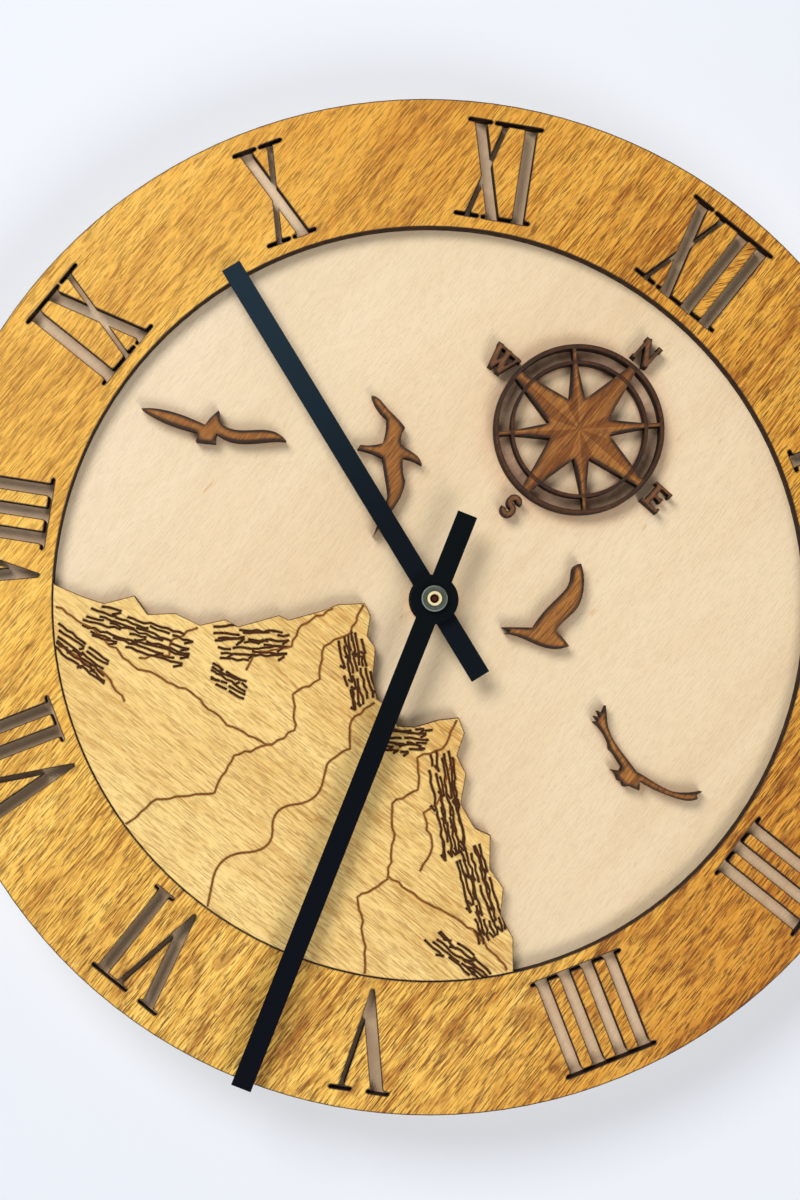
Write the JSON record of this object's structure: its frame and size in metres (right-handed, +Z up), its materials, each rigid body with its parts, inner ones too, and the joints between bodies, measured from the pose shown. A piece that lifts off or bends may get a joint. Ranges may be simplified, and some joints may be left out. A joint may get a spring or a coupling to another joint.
{
  "type": "wall clock",
  "caption": "Round layered plywood wall clock with a pierced Roman numeral ring, cut-out landscape, compass and birds, plain baton hands and a quartz movement.",
  "frame": {"origin": "on the arbor axis, at the rear face of the movement, which lies in the wall's plane", "axes": "+Z up towards XII, +X to the right of the dial, +Y into the wall, so the dial faces -Y"},
  "size_m": [0.25, 0.0336, 0.25],
  "materials": {
    "pale_birch": "oiled birch plywood",
    "golden_stain": "golden stained plywood, satin",
    "yellow_stain": "yellow stained plywood, satin",
    "walnut_stain": "walnut stained plywood, satin",
    "black_hand": "satin black",
    "nickel": "nickel plated",
    "brass": "turned",
    "rubber": "matt",
    "case_plastic": "moulded, fine texture",
    "bridge_plastic": "moulded",
    "gear_plastic": "moulded",
    "magnet": "sintered",
    "soft_iron": "annealed",
    "copper": "enamelled wire",
    "board": "phenolic sheet",
    "resin": "potting resin",
    "cell_jacket": "plain jacket, satin"
  },
  "bodies": {
    "clock": {"base_disc": "pale_birch", "numeral_ring": "golden_stain", "numeral_islands": "golden_stain", "landscape_panel": "yellow_stain", "compass_rose": "walnut_stain", "compass_letter_north": "walnut_stain", "compass_letter_east": "walnut_stain", "compass_letter_south": "walnut_stain", "compass_letter_west": "walnut_stain", "bird_far_left": "walnut_stain", "bird_left": "walnut_stain", "bird_right": "walnut_stain", "bird_far_right": "walnut_stain", "gasket": "rubber", "bush_washer": "brass", "bush_nut": "brass", "threaded_bush": "brass", "front_case": "case_plastic", "rear_cover": "case_plastic", "train_bridge": "bridge_plastic", "stator_plate": "soft_iron", "coil_core": "soft_iron", "coil_bobbin": "bridge_plastic", "coil_winding": "copper", "circuit_board": "board", "crystal_can": "nickel", "timing_chip": "resin", "battery_cell": "cell_jacket", "positive_contact": "nickel", "negative_contact": "nickel"},
    "minute_hand_body": {"minute_hand": "black_hand", "hand_nut": "nickel", "minute_arbor": "brass"},
    "hour_hand_body": {"hour_hand": "black_hand", "hour_wheel": "gear_plastic"},
    "motion_wheel_body": {"motion_wheel": "gear_plastic"},
    "setting_knob_body": {"setting_knob": "case_plastic"},
    "rotor_body": {"rotor_pinion": "gear_plastic", "rotor_magnet": "magnet"},
    "fifth_wheel_body": {"fifth_wheel": "gear_plastic"},
    "second_wheel_body": {"second_wheel": "gear_plastic"},
    "third_wheel_body": {"third_wheel": "gear_plastic"},
    "centre_wheel_body": {"centre_wheel": "gear_plastic"}
  },
  "joints": [
    {"name": "minute_hand_turn", "type": "hinge", "parent": "clock", "child": "minute_hand_body", "pos_m": [0, -0.01, 0], "axis": [0, 1, 0], "continuous": true},
    {"name": "hour_hand_turn", "type": "hinge", "parent": "clock", "child": "hour_hand_body", "pos_m": [0, -0.01, 0], "axis": [0, 1, 0], "continuous": true},
    {"name": "motion_wheel_turn", "type": "hinge", "parent": "clock", "child": "motion_wheel_body", "pos_m": [0.00181, -0.01, 0.01024], "axis": [0, 1, 0], "continuous": true},
    {"name": "setting_knob_turn", "type": "hinge", "parent": "clock", "child": "setting_knob_body", "pos_m": [0.00977, -0.01, 0.01693], "axis": [0, 1, 0], "continuous": true},
    {"name": "rotor_turn", "type": "hinge", "parent": "clock", "child": "rotor_body", "pos_m": [-0.01293, -0.01, 0.01018], "axis": [0, 1, 0], "continuous": true},
    {"name": "fifth_wheel_turn", "type": "hinge", "parent": "clock", "child": "fifth_wheel_body", "pos_m": [-0.00643, -0.01, 0.00643], "axis": [0, 1, 0], "continuous": true},
    {"name": "second_wheel_turn", "type": "hinge", "parent": "clock", "child": "second_wheel_body", "pos_m": [0, -0.01, 0], "axis": [0, 1, 0], "continuous": true},
    {"name": "third_wheel_turn", "type": "hinge", "parent": "clock", "child": "third_wheel_body", "pos_m": [0.00897, -0.01, -0.00078], "axis": [0, 1, 0], "continuous": true},
    {"name": "centre_wheel_turn", "type": "hinge", "parent": "clock", "child": "centre_wheel_body", "pos_m": [0, -0.01, 0], "axis": [0, 1, 0], "continuous": true}
  ],
  "couplings": [
    {"joint": "hour_hand_turn", "follows": "minute_hand_turn", "ratio": 0.083333},
    {"joint": "motion_wheel_turn", "follows": "minute_hand_turn", "ratio": -0.33333},
    {"joint": "setting_knob_turn", "follows": "minute_hand_turn", "ratio": 1},
    {"joint": "fifth_wheel_turn", "follows": "rotor_turn", "ratio": -0.2},
    {"joint": "second_wheel_turn", "follows": "rotor_turn", "ratio": 0.033333},
    {"joint": "third_wheel_turn", "follows": "rotor_turn", "ratio": -0.0041667},
    {"joint": "centre_wheel_turn", "follows": "rotor_turn", "ratio": 0.00055556}
  ]
}
